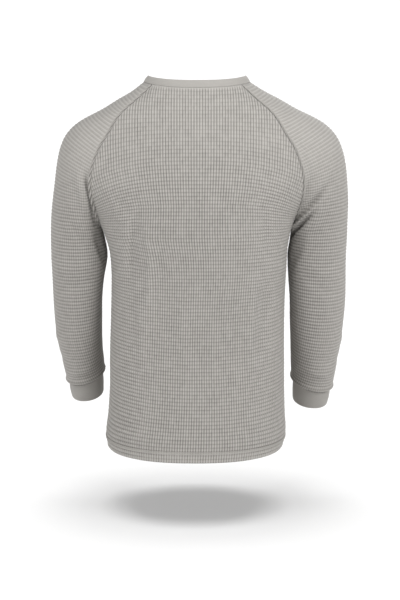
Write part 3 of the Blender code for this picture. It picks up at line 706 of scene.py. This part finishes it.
# Depths and rises in metres, tones as shares of the dark yarn. A pair is where something starts
# and where it is full: sideAcross from the middle, sideDown, firmDown and the like in height.
# the row, side and bank tones are painted shade in grooves and beside the seam, the cell tone a painted
# highlight on cells that stand higher
panelKnit = dict(cells=50, samples=361, rowPitch=0.0069, thickness=0.0017, hem=0.0172,
                 grooveDepth=0.0011, rowDepth=0.0005, faintRow=0.3, sideRow=0.0016,
                 sideRowShade=0.13, rowGrooveShade=0.12, cellRise=0.0004, cellRiseHighlight=0.10,
                 sideAcross=(0.070, 0.135), sideDown=(-0.11, -0.19), firmDown=(-0.07, -0.20),
                 foldFade=0.012, edgeFade=(0.0008, 0.0040), topFade=0.0035,
                 bankWidth=0.0026, bankDepth=0.0012, bankShade=0.42,
                 hemLineWidth=0.0016, hemLineRise=0.0006, hemLineTone=-0.16, hemTone=0.10,
                 frown=-0.028, frownFull=0.11, frownEnd=(-0.16, -0.31), smile=0.012,
                 smileDown=(-0.34, -0.42), smileEnd=-0.60, across=0.165,
                 pitchZ=(-0.282, -0.220, -0.180, -0.140, -0.050),
                 pitch=(0.00455, 0.00480, 0.00500, 0.00505))


def panelRows(panel):
    # rows of equal pitch down the centre; their ends drop by the cube of the way across the
    # shoulder blades and rise by its square at the waist
    knit = panelKnit
    heights = np.linspace(panelTop[panel], hemZ, fineSteps)
    centre = panelForm(panel, np.zeros(fineSteps), heights)
    down = lengthAlong(centre[None])[0]
    count = int(round(down[-1] / knit["rowPitch"])) * 3
    rowZ = np.interp(np.linspace(0.0, down[-1], count + 1), down, heights)
    turn = np.linspace(-1.0, 1.0, knit["samples"])
    across = np.sign(turn) * np.abs(np.sin(turn * pi / 2)) ** 0.9  # closer towards the sides
    q = np.abs(across)[None, :] * sideOf(panel, rowZ)[0][:, None] / knit["across"]
    frown = knit["frown"] * smoothstep(panelTop[panel], panelTop[panel] - knit["frownFull"], rowZ)
    frown = frown * (1.0 - smoothstep(*knit["frownEnd"], rowZ))
    smile = knit["smile"] * smoothstep(*knit["smileDown"], rowZ)
    smile = smile * (1.0 - smoothstep(knit["smileEnd"], hemZ, rowZ))
    sideZ = rowZ[:, None] + frown[:, None] * q ** 3 + smile[:, None] * q ** 2
    across, sideZ = np.broadcast_arrays(across[None, :], np.clip(sideZ, hemZ, panelTop[panel]))
    dense = panelForm(panel, across, sideZ)
    return dense, outwardNormals(dense, bodyMiddle), rowZ


def buildPanel(panel, creases, material):
    # the panel's form with upright grooves, rows across, folds and the line of its hem
    knit = panelKnit
    dense, normals, rowZ = panelRows(panel)
    length = lengthAlong(dense)
    length = length - length[:, knit["samples"] // 2][:, None]
    reach = np.minimum(-length[:, 0], length[:, -1])
    own = reach / knit["cells"]
    atUnderarm = own[np.argmin(np.abs(rowZ - underarmZ))]
    upper = np.interp(rowZ, knit["pitchZ"], (atUnderarm, *knit["pitch"]))
    pitch = np.where(rowZ < underarmZ, own, upper)
    across = 2 * knit["cells"] * 3 + 1
    columnGain = 0.72 + 0.5 * hashed(across, 3 if panel == "back" else 5)
    gain = cellGain(len(rowZ), across, 11 if panel == "back" else 12)
    heightRow = rowZ[:, None]

    def relief(at, steps, low, high, broad=False):
        edge = np.minimum(at - low[:, None], high[:, None] - at)
        z = np.broadcast_to(heightRow, at.shape)
        folds = creaseRelief(creases, at, z) * smoothstep(0.0, knit["foldFade"], edge + 0.002)
        if broad:
            return folds, None, None
        # upright grooves rule the middle, rows across rule the sides below the shoulder blades
        sides = smoothstep(*knit["sideAcross"], np.abs(at)) * smoothstep(*knit["sideDown"], z)
        firm = smoothstep(*knit["firmDown"], z)  # rows are faint over the shoulder blades
        isColumn = ((steps % 3 == 0) * columnGain)[None, :]
        isRow = (np.arange(len(rowZ)) % 3 == 0).astype(float)[:, None]
        full = smoothstep(*knit["edgeFade"], edge)
        full = full * smoothstep(0.0, knit["topFade"], panelTop[panel] - z)
        hemLine = np.exp(-((z - hemZ - knit["hem"]) / knit["hemLineWidth"]) ** 2)
        full = full * (1.0 - 0.6 * hemLine)
        rows = knit["rowDepth"] * rising(knit["faintRow"], firm) + knit["sideRow"] * sides
        groove = np.maximum(isColumn * knit["grooveDepth"] * (1.0 - 0.5 * sides), isRow * rows)
        bank = 1.0 - smoothstep(0.0, knit["bankWidth"], edge)
        height = folds - groove * full - knit["bankDepth"] * bank + knit["hemLineRise"] * hemLine
        height = height + gain * knit["cellRise"] * full
        inHem = smoothstep(hemZ + knit["hem"], hemZ + knit["hem"] - 0.002, z)
        # painted shade in the rows' grooves, more of it at the sides, and in the sunk bank beside the
        # seam; cells that the random gain lifts are painted lighter, a painted highlight
        rowShade = isRow * (knit["rowGrooveShade"] * firm + knit["sideRowShade"] * sides)
        paintedShadeAndTone = knit["bankShade"] * bank + knit["hemLineTone"] * hemLine - knit["hemTone"] * inHem
        paintedShadeAndTone = paintedShadeAndTone + (rowShade - gain * knit["cellRiseHighlight"]) * full
        return height, paintedShadeAndTone, full * (1.0 - 0.4 * sides)

    return knitPiece(panel + "Panel", (dense, normals, length), pitch, knit, relief, material)


hemStitch = dict(radius=0.00045, pitch=0.0034, dip=0.0006, spread=0.0017, lift=0.0004,
                 ends=0.004, tone=-0.10, strands=1, depth=0.0, around=6, step=0.00055)


def buildHemStitches(panel, creases, material):
    # two threads along the hem, each a cosine wave that dips under the cloth once a stitch
    look = hemStitch
    dense, normals, rowZ = panelRows(panel)
    row = int(np.argmin(np.abs(rowZ - hemZ - panelKnit["hem"])))
    length = lengthAlong(dense[row:row + 1])[0]
    at = np.arange(look["ends"], length[-1] - look["ends"], look["step"])
    path, below, out = (readPath(line, length, at) for line in (dense[row], dense[row + 1], normals[row]))
    out = unit(out)
    middle = length[panelKnit["samples"] // 2]
    folds = creaseRelief(creases, at - middle, np.full(at.size, rowZ[row]))
    parts, faces, cells = [], [], []
    for thread, offset in enumerate((-look["spread"], look["spread"])):
        beat = at / look["pitch"] + 0.5 * thread
        lift = folds + look["lift"] + look["dip"] * np.cos(2 * pi * beat)
        centre = path + unit(below - path) * offset + out * lift[:, None]
        points, wave = tubeOnPath(centre, np.full(at.size, look["radius"]), out, beat, look)
        faces.append(tubeTris(points, centre) + thread * wave.size)
        parts.append(points.reshape(-1, 3))
        cells.append(paired(beat[:, None], wave))
    points = np.concatenate(parts)
    return addPiece("hemStitch" + panel.capitalize(), points, np.concatenate(faces), material,
                    np.concatenate(cells), np.full(len(points), look["tone"]), np.zeros(len(points)))


# the row and bank tones are painted shade, the ridge, strand and cell tones painted highlights
sleeveKnit = dict(cells=48, lineSteps=1500, rowPitch=0.0067, pitch=0.0041, thickness=0.0017, soften=0.014,
                  grooveDepth=0.0006, faintGroove=0.35, columnShare=0.75, ridge=0.00055, rowDepth=0.0012,
                  faintRow=0.25, ridgeHighlight=-0.24, rowGrooveShade=0.30, cellRise=0.0002, cellRiseHighlight=0.07,
                  sunkDown=(0.17, 0.36), sunkAcross=(0.01, 0.09), faintSunk=0.30,
                  foldFade=0.007, edgeFade=(0.0026, 0.0048), endFade=0.003,
                  strandAt=0.0030, strandWidth=0.0009, strandRise=0.0005, strandHighlight=-0.10,
                  bankWidth=0.0024, bankDepth=0.0012, bankShade=0.42,
                  lip=0.0030, lipAt=0.0065, lipWidth=0.0050)


def closedSkin(dense, closedFrom=0):
    # the form with its normals, shared where its two ends meet, and the length along its rows
    normals = outwardNormals(dense, dense.mean(axis=1, keepdims=True))
    shared = unit(normals[closedFrom:, 0] + normals[closedFrom:, -1])
    normals[closedFrom:, 0] = shared
    normals[closedFrom:, -1] = shared
    return dense, normals, lengthAlong(dense)


def buildSleeve(name, side, creases, material):
    # the sleeve's form, each row a raised ridge with a painted highlight over a sunk gap with painted
    # shade, crossed by faint grooves
    knit = sleeveKnit
    fineStations = np.linspace(0.0, sleeve[-1][0], knit["lineSteps"])
    down = lengthAlong(outerLine(sleeve, side, fineStations)[None])[0]
    count = int(round(down[-1] / knit["rowPitch"])) * 3
    stations = np.interp(np.linspace(0.0, down[-1], count + 1), down, fineStations)
    closedFrom = int(np.ceil(np.argmax(stations >= underarmStation) / 3.0)) * 3
    form = softened(tubeForm(sleeve, side, stations), down[-1] / count, knit["soften"])
    dense, normals, length = closedSkin(form, closedFrom)
    length = length - length[:, length.shape[1] // 2][:, None]
    pitch = np.full(len(stations), knit["pitch"])
    along = np.linspace(0.0, down[-1], count + 1)[:, None]
    gain = cellGain(len(stations), 2 * knit["cells"] * 3 + 1, 13 if side > 0 else 14)

    def relief(at, steps, low, high, broad=False):
        edge = np.minimum(at - low[:, None], high[:, None] - at)
        lengths = np.broadcast_to(along, at.shape)
        folds = creaseRelief(creases, -at, lengths) * smoothstep(0.0, knit["foldFade"], edge)
        if broad:
            return folds, None, None
        # the gaps and grooves deepen down the arm and towards its inner side, and so does their painted
        # shade, while the ridges' painted highlight fades
        inwards = rising(knit["faintSunk"], smoothstep(*knit["sunkAcross"], np.abs(at)))
        sunk = smoothstep(*knit["sunkDown"], lengths) * inwards
        isColumn = (steps % 3 == 0).astype(float)[None, :]
        isRow = (np.arange(len(stations)) % 3 == 0).astype(float)[:, None]
        isGap = (np.arange(len(stations)) % 3 == 2).astype(float)[:, None]
        toEnd = along[-1, 0] - lengths
        full = smoothstep(*knit["edgeFade"], edge) * smoothstep(0.0, knit["endFade"], along)
        full = full * smoothstep(0.0, knit["endFade"], toEnd)
        strand = np.exp(-((edge - knit["strandAt"]) / knit["strandWidth"]) ** 2)
        bank = 1.0 - smoothstep(0.0, knit["bankWidth"], edge)
        ridge, gap = isRow * (1.0 - 0.4 * sunk), isGap * rising(knit["faintRow"], sunk)
        column = isColumn * knit["grooveDepth"] * rising(knit["faintGroove"], sunk)
        rows = ridge * knit["ridge"] - gap * knit["rowDepth"] - column * knit["columnShare"]
        lip = knit["lip"] * np.exp(-((toEnd - knit["lipAt"]) / knit["lipWidth"]) ** 2)
        height = folds + lip + knit["strandRise"] * strand - knit["bankDepth"] * bank
        height = height + (rows + gain * knit["cellRise"]) * full
        # painted highlight on the ridges, the raised strand and lifted cells; painted shade in the gaps
        # and the sunk bank beside the seam
        tone = ridge * knit["ridgeHighlight"] + gap * knit["rowGrooveShade"] - gain * knit["cellRiseHighlight"]
        tone = tone * full + knit["bankShade"] * bank + knit["strandHighlight"] * strand
        return height, tone, full * rising(knit["faintSunk"], sunk) * knit["columnShare"]

    return knitPiece("sleeve" + name, (dense, normals, length), pitch, knit, relief, material,
                     closedFrom)


# Rolled seam between panel and sleeve: radius in its upper part, at its fullest and at the underarm.
rope = dict(backLeft=(0.0012, 0.0035, 0.0022), backRight=(0.0011, 0.0015, 0.0013),
            frontLeft=(0.0011, 0.0015, 0.0013), frontRight=(0.0011, 0.0015, 0.0013),
            places=(0.0, 0.45, 0.78, 1.0), first=0.15, last=11.98, sink=0.0004, roundEnd=0.002,
            tone=0.85, light=0.14, twist=0.0160, strands=2, depth=0.45, lift=0.50, around=12,
            step=0.0009)


def tubeOnPath(path, radius, normal, twistTurns, look):
    # a circle carried along the path, its radius wavy round it so that strands wind along it
    along = unit(np.gradient(path, axis=0))
    side = unit(np.cross(along, normal))
    out = unit(np.cross(side, along))
    angle = np.linspace(0.0, 2 * pi, look["around"], endpoint=False)
    wave = 0.5 + 0.5 * np.cos(look["strands"] * angle[None, :] - 2 * pi * twistTurns[:, None])
    r = radius[:, None] * (1.0 - look["depth"] * (1.0 - wave) ** 1.5)
    ring = (np.cos(angle)[None, :, None] * out[:, None] + np.sin(angle)[None, :, None] * side[:, None])
    return path[:, None] + r[..., None] * ring, wave


def tubeTris(points, path, loop=False):
    # triangles of a tube on its path
    flip = facesIn(points, 5, 0, points[5, 0] - path[5])
    return trisOfGrid(wrapped(*points.shape[:2], loop), flip)


def addTube(name, points, path, turns, wave, tone, material, loop=False):
    # a tube whose pattern follows its strands
    return addPiece(name, points.reshape(-1, 3), tubeTris(points, path, loop), material,
                    paired(turns[:, None], wave), tone.reshape(-1), np.zeros(wave.size))


def buildRope(panel, where, side, material):
    # a twisted roll on the panel's raglan edge, its radius in straight lines between the places
    radii = rope[panel + where]
    stations = np.linspace(rope["first"], rope["last"], fineSteps)
    edge = panelForm(panel, np.ones(fineSteps), seamAt(panel, stations)[:, 2])
    edge = edge * np.array([side, 1.0, 1.0])
    length = lengthAlong(edge[None])[0]
    at = np.arange(0.0, length[-1], rope["step"])
    path = readPath(edge, length, at)
    radius = np.interp(at / length[-1], rope["places"], (radii[0], *radii))
    out = unit(path - np.array([side * 0.06, 0.0, -0.22]))  # away from inside the chest
    ends = np.sqrt(np.clip(np.minimum(at, at[-1] - at) / rope["roundEnd"], 0.0, 1.0))
    path = path + out * (radius * rope["lift"] - rope["sink"])[:, None]
    turns = at / rope["twist"]
    points, wave = tubeOnPath(path, radius * np.maximum(ends, 0.02), out, turns, rope)
    # painted shade in the valleys between the strands, and the strands' tops painted lighter, a painted
    # highlight
    tone = rope["tone"] * (1.0 - wave) ** 2.2 - rope["light"]
    return addTube("seam" + panel.capitalize() + where, points, path, turns, wave, tone, material)


band = dict(height=0.0135, lean=0.0075, tip=0.0050, thickness=0.0024, ribs=330, ribDepth=0.00016,
            bulge=0.0007, lift=0.0004, wallShare=0.97, tone=-0.06, steps=29, topFrom=0.44, topTo=0.56)


def ringOfNeck(count):
    # superellipse of the neck seam at equal steps of length, its height falling to the front
    angle = np.linspace(0.0, 2 * pi, count, endpoint=False)
    c, s = np.cos(angle), np.sin(angle)
    x = neck["halfWidth"] * np.sign(c) * np.abs(c) ** (2 / neck["power"])
    depth = np.where(s > 0, neck["back"], neck["front"])
    y = neck["middleY"] + depth * np.sign(s) * np.abs(s) ** (2 / neck["power"])
    ring = np.stack([x, y, neckHeight(y)], axis=-1)
    closed = np.concatenate([ring, ring[:1]])
    length = lengthAlong(closed[None])[0]
    return readPath(closed, length, np.linspace(0.0, length[-1], count, endpoint=False))


def bandProfile():
    # a folded strip: up the outside, over a half circle, down the inside; its height and depth
    # as shares, and the rise of its round top
    top, after = band["topFrom"], band["topTo"]
    t = np.linspace(0.0, 1.0, band["steps"])
    height = np.where(t < top, t / top, np.where(t > after, (1 - t) / (1 - after), 1.0))
    turn = np.clip((t - top) / (after - top), 0.0, 1.0) * pi
    depth = np.where(t < top, 0.0, np.where(t > after, 1.0, 0.5 - 0.5 * np.cos(turn)))
    crown = np.where((t >= top) & (t <= after), np.sin(turn) * 0.5, 0.0)
    return tuple(values[:, None, None] for values in (height, depth, crown))


def buildNeckband(material):
    # the strip's profile carried round the neck, leaning in, with a fine rib every third step
    columns = band["ribs"] * 3
    seam = ringOfNeck(columns)
    # level, away from the middle of the neck
    level = unit((seam - np.array([0.0, -0.010, 0.0])) * np.array([1.0, 1.0, 0.0]))
    lean = band["tip"] + (band["lean"] - band["tip"]) * level[:, :1] ** 2
    rise = np.sqrt(band["height"] ** 2 - lean ** 2)
    height, depth, crown = bandProfile()
    wall = rise * np.array([0.0, 0.0, 1.0]) - level * lean
    along = unit(np.roll(seam, -1, axis=0) - np.roll(seam, 1, axis=0))
    normal = unit(np.cross(along, unit(wall)))
    normal = np.where((normal * level).sum(-1, keepdims=True) < 0, -normal, normal)
    ribs = (np.arange(columns) % 3 == 0).astype(float)[None, :, None]
    facing = 1 - 2 * depth  # 1 on the outside, -1 on the inside
    bulge = band["bulge"] * np.sin(pi * height)
    rib = band["ribDepth"] * ribs * np.sin(pi * np.clip(height, 0.06, 0.94))
    out = facing * (bulge - rib) - depth * band["thickness"]
    up = band["wallShare"] * height * wall + crown * band["thickness"] * unit(wall)
    points = seam + up + out * normal
    points[:, :, 2] += band["lift"]
    uv = paired(np.arange(columns)[None, :] / 3.0, height[..., 0] * 6.0)
    return addPiece("neckBand", points.reshape(-1, 3), trisOfGrid(wrapped(*points.shape[:2], True), False),
                    material, uv, np.full(len(uv), band["tone"]), np.ones(len(uv)))


cuffKnit = dict(ribs=104, ribDepth=0.00030, thickness=0.0024, rows=17, bulge=0.0006)


def buildCuff(name, side, material):
    # a folded tube: down the outside, round the bottom edge, up the inside
    rows = cuffKnit["rows"]
    stations = np.linspace(cuff[0][0], cuff[-1][0], rows)
    dense, normals, length = closedSkin(tubeForm(cuff, side, stations))
    columns = cuffKnit["ribs"] * 3
    at = np.linspace(0.0, 1.0, columns + 1)[None, :-1] * length[:, -1:]
    skin, normal = readAlong(dense, length, at), unit(readAlong(normals, length, at))
    ribs = (np.arange(columns) % 3 == 0).astype(float)[None, :, None]
    share = np.linspace(0.0, 1.0, rows)[:, None, None]
    bulge = cuffKnit["bulge"] * np.sin(pi * share)
    fade = smoothstep(0.0, 0.10, share) * (1 - smoothstep(0.92, 1.0, share))
    outer = skin + normal * (bulge - cuffKnit["ribDepth"] * ribs * fade)
    t = cuffKnit["thickness"]
    ending = unit(skin[-1] - skin[-2])
    turn = np.linspace(0.0, pi, 7)[1:-1, None, None]
    base = skin[-1] - normal[-1] * t / 2
    edge = base[None] + np.cos(turn) * normal[-1][None] * t / 2 + np.sin(turn) * ending[None] * t / 2
    inner = skin[::-4] - normal[::-4] * t
    points = np.concatenate([outer, edge, inner])
    tris = trisOfGrid(wrapped(*points.shape[:2], True), facesIn(points, 4, 10, normal[4, 10]))
    uv = paired(np.arange(columns)[None, :] / 3.0, np.arange(len(points))[:, None])
    return addPiece("cuff" + name, points.reshape(-1, 3), tris, material, uv,
                    np.zeros(len(uv)), np.ones(len(uv)))


cuffSeam = dict(radius=0.0011, lift=0.0006, tone=0.35, light=0.10, twist=0.0052, strands=2,
                depth=0.22, around=8, step=0.0010)


def buildCuffSeam(name, side, material):
    # a thin twisted roll round the cuff's upper edge, with a whole number of turns
    ring = tubeForm(cuff, side, np.array([cuff[0][0], cuff[0][0] + 0.1]))[0]
    length = lengthAlong(ring[None])[0]
    count = int(length[-1] / cuffSeam["step"])
    at = np.arange(count) * length[-1] / count
    path = readPath(ring, length, at)
    out = unit((path - path.mean(axis=0)) * np.array([1.0, 1.0, 0.2]))
    path = path + out * cuffSeam["lift"]
    turns = np.round(length[-1] / cuffSeam["twist"]) * at / length[-1]
    wrap = np.arange(-3, count + 3) % count  # some steps past both ends, so that the join is even
    points, wave = tubeOnPath(path[wrap], np.full(count + 6, cuffSeam["radius"]), out[wrap],
                              turns[wrap], cuffSeam)
    points, wave = points[3:-3], wave[3:-3]
    # painted shade in the valleys between the strands, and the strands' tops painted lighter, a painted
    # highlight
    tone = cuffSeam["tone"] * (1.0 - wave) - cuffSeam["light"]
    return addTube("cuffSeam" + name, points, path, turns, wave, tone, material, loop=True)


stage = dict(drop=0.125, reach=30.0, wall=7.0, sides=48, floor=(0.80, 0.80, 0.80, 1.0), sky=0.22)
# name, place, power, size of a softbox; these light the cloth
softboxes = (("boxLeft", (1.66, 1.80, 1.50), 35.5, 1.2),
             ("boxRight", (-1.74, 1.72, 1.25), 49.0, 1.2),
             ("boxTop", (0.0, 0.30, 2.10), 16.0, 1.2),
             ("boxFront", (-0.90, -2.60, 0.40), 44.0, 1.5))
# name, strength, softness in degrees, whether it casts a shadow; these light the floor from above
overheads = (("overheadKey", 2.35, 50.0, True),
             ("overheadFill", 1.28, 50.0, False))


def addStage(name, points, faces, emission, base):
    # a plain matt surface that isn't part of the garment
    mesh = bpy.data.meshes.new(name)
    mesh.from_pydata(points, [], faces)
    mesh.materials.append(Shader(name + "Paint").finish({
        "Base Color": base, "Roughness": 0.9, "Specular IOR Level": 0.0,
        "Emission Color": (1.0, 1.0, 1.0, 1.0), "Emission Strength": emission}))
    thing = newObject(name, mesh)
    return thing


def addLamp(name, kind, place, aim, power):
    # a lamp turned to its aim, itself not seen
    light = bpy.data.lights.new(name, kind)
    light.energy = power
    lamp = newObject(name, light)
    lamp.location = place
    lamp.rotation_euler = (Vector(aim) - Vector(place)).to_track_quat("-Z", "Y").to_euler()
    lamp.visible_camera = False
    return lamp


def lightOnly(lamp, things):
    # the lamp reaches these things and nothing else
    lit = bpy.data.collections.new(lamp.name + "Lit")
    for thing in things:
        lit.objects.link(thing)
    lamp.light_linking.receiver_collection = lit


def buildStage(cloth):
    # pale floor that reaches a low white wall all round; softboxes for the cloth, light from
    # straight above for the floor
    size, z = stage["reach"], hemZ - stage["drop"]
    floor = addStage("floor", [(-size, -size, z), (size, -size, z), (size, size, z), (-size, size, z)],
                     [(0, 1, 2, 3)], 0.0, stage["floor"])
    sides = stage["sides"]
    turn = np.linspace(0.0, 2 * pi, sides, endpoint=False)
    circle = 0.98 * size * np.stack([np.cos(turn), np.sin(turn)], axis=-1)
    ring = [(x, y, height) for height in (z, z + stage["wall"]) for x, y in circle]
    faces = [(i, (i + 1) % sides, (i + 1) % sides + sides, i + sides) for i in range(sides)]
    addStage("wall", ring, faces, 1.0, (0.0, 0.0, 0.0, 1.0))
    world = bpy.data.worlds.new("studio")
    bpy.context.scene.world = world
    world.use_nodes = True
    back = world.node_tree.nodes["Background"]
    back.inputs["Color"].default_value = (1.0, 1.0, 1.0, 1.0)
    back.inputs["Strength"].default_value = stage["sky"]
    for name, place, power, width in softboxes:
        lamp = addLamp(name, "AREA", place, bodyMiddle, power)
        lamp.data.size = width
        lightOnly(lamp, cloth)
    for name, strength, softness, shadow in overheads:
        lamp = addLamp(name, "SUN", (0.0, 0.0, 3.0), (0.0, 0.0, 0.0), strength)
        lamp.data.angle = math.radians(softness)
        lamp.data.use_shadow = shadow
        lightOnly(lamp, [floor])
    bpy.context.scene.view_settings.view_transform = "Standard"


view = dict(place=(-0.00558, 3.0, 0.26), aim=(-0.00558, 0.0, -0.415), lens=99.19)


def buildCamera():
    # behind the top and a little above it, tipped down to its aim
    camera = bpy.data.cameras.new("camera")
    camera.lens = view["lens"]
    camera.sensor_width = 36.0
    holder = newObject("camera", camera)
    holder.location = view["place"]
    down = math.atan2(view["place"][2] - view["aim"][2], view["place"][1] - view["aim"][1])
    holder.rotation_euler = (pi / 2 - down, 0.0, pi)
    bpy.context.scene.camera = holder


buildCamera()
print("camera set")
waffleBody = clothMaterial("waffleBody", bodyLook)
waffleSleeve = clothMaterial("waffleSleeve", sleeveLook)
rib = clothMaterial("ribKnit", ribLook)
pieces = {}
pieces["back_panel"] = buildPanel("back", backCreases, waffleBody)
pieces["front_panel"] = buildPanel("front", frontCreases, waffleBody)
for name, side in (("Left", 1.0), ("Right", -1.0)):
    pieces["sleeve_" + name.lower()] = buildSleeve(name, side, sleeveCreases[name.lower()], waffleSleeve)
    pieces["cuff_" + name.lower()] = buildCuff(name, side, rib)
pieces["neckband"] = buildNeckband(rib)
seams = [buildRope(panel, where, side, rib)
         for panel in ("back", "front") for where, side in (("Left", 1.0), ("Right", -1.0))]
seams += [buildCuffSeam(name, side, rib) for name, side in (("Left", 1.0), ("Right", -1.0))]
seams += [buildHemStitches(panel, creases, waffleBody)
          for panel, creases in (("back", backCreases), ("front", frontCreases))]
print("cloth made")
buildStage(list(pieces.values()) + seams)
print("stage and lights set")

for node, piece in pieces.items():
    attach(piece, "root")
    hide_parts(node)
    "rib_knit" if "cuff" in node or "neck" in node else "waffle_knit"

for seam in seams:
    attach(seam, "root")
